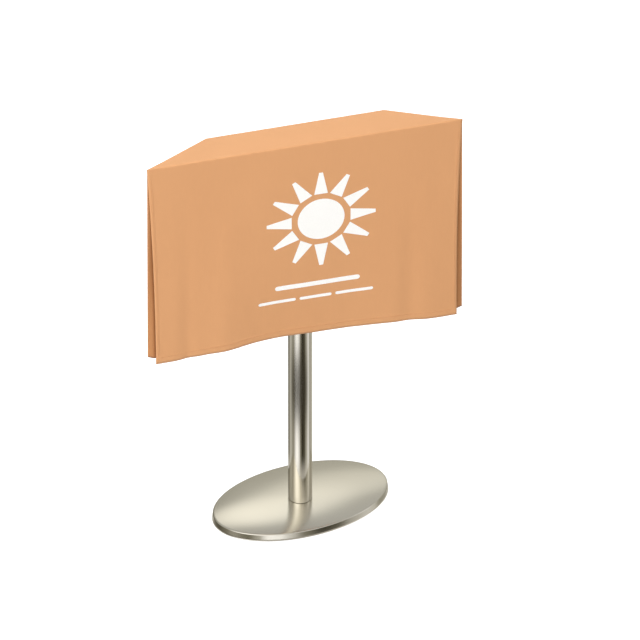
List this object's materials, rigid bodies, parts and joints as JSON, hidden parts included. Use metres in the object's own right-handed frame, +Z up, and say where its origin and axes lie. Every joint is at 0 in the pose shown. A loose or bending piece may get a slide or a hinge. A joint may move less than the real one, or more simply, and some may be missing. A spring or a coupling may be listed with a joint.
{
  "type": "desk flag stand",
  "caption": "Desk flag stand: oval metal base, round post and a swivelling trapezoid head that holds up a removable cloth cover with a plain front emblem.",
  "frame": {"origin": "centre of the base pad's underside, on the axis of the post", "axes": "+Z up along the post; the wide front of the head and its printed panel face -Y; +X runs along the head's wide side, to the right as seen from the front. The oval base is turned 9.5 degrees about +Z from the head, which swivels"},
  "size_m": [0.3356, 0.1188, 0.4717],
  "materials": {
    "satin_nickel": "satin nickel plate with a polished rim",
    "polished_nickel": "polished nickel plate",
    "zinc_steel": "zinc plated",
    "foam_rubber": "closed-cell foam",
    "acetal": "natural acetal",
    "plywood": "sanded birch plywood",
    "hook_loop_tape": "woven hook and loop tape",
    "peach_cloth": "matte plain-weave polyester",
    "white_print": "matte white screen print"
  },
  "bodies": {
    "base": {"base_plate": "satin_nickel", "base_pad": "foam_rubber", "post_bolt": "zinc_steel", "post_washer": "zinc_steel", "post_plug": "zinc_steel", "post": "polished_nickel", "upper_bush": "acetal", "lower_bush": "acetal", "thrust_washer": "acetal"},
    "head": {"swivel_spindle": "zinc_steel", "retaining_washer": "zinc_steel", "retaining_screw": "zinc_steel", "top_board": "plywood", "front_rail": "plywood", "back_rail": "plywood", "left_rail": "plywood", "right_rail": "plywood", "board_screw_1": "zinc_steel", "board_screw_2": "zinc_steel", "board_screw_3": "zinc_steel", "board_screw_4": "zinc_steel", "board_screw_5": "zinc_steel", "board_screw_6": "zinc_steel", "board_screw_7": "zinc_steel", "flange_screw_1": "zinc_steel", "flange_screw_2": "zinc_steel", "flange_screw_3": "zinc_steel", "flange_screw_4": "zinc_steel", "hook_tape_front": "hook_loop_tape", "hook_tape_back": "hook_loop_tape", "hook_tape_left": "hook_loop_tape", "hook_tape_right": "hook_loop_tape"},
    "cover": {"cover_top": "peach_cloth", "cover_front": "peach_cloth", "cover_back": "peach_cloth", "cover_left": "peach_cloth", "cover_right": "peach_cloth", "corner_return_left": "peach_cloth", "corner_return_right": "peach_cloth", "loop_tape_front": "hook_loop_tape", "loop_tape_back": "hook_loop_tape", "loop_tape_left": "hook_loop_tape", "loop_tape_right": "hook_loop_tape"}
  },
  "joints": [
    {"name": "head_swivel", "type": "hinge", "parent": "base", "child": "head", "pos_m": [0, 0, 0.4479], "axis": [0, 0, 1], "continuous": true},
    {"name": "cover_lift", "type": "slide", "parent": "head", "child": "cover", "axis": [0, 0, 1], "range_m": [0, 0.25]}
  ]
}
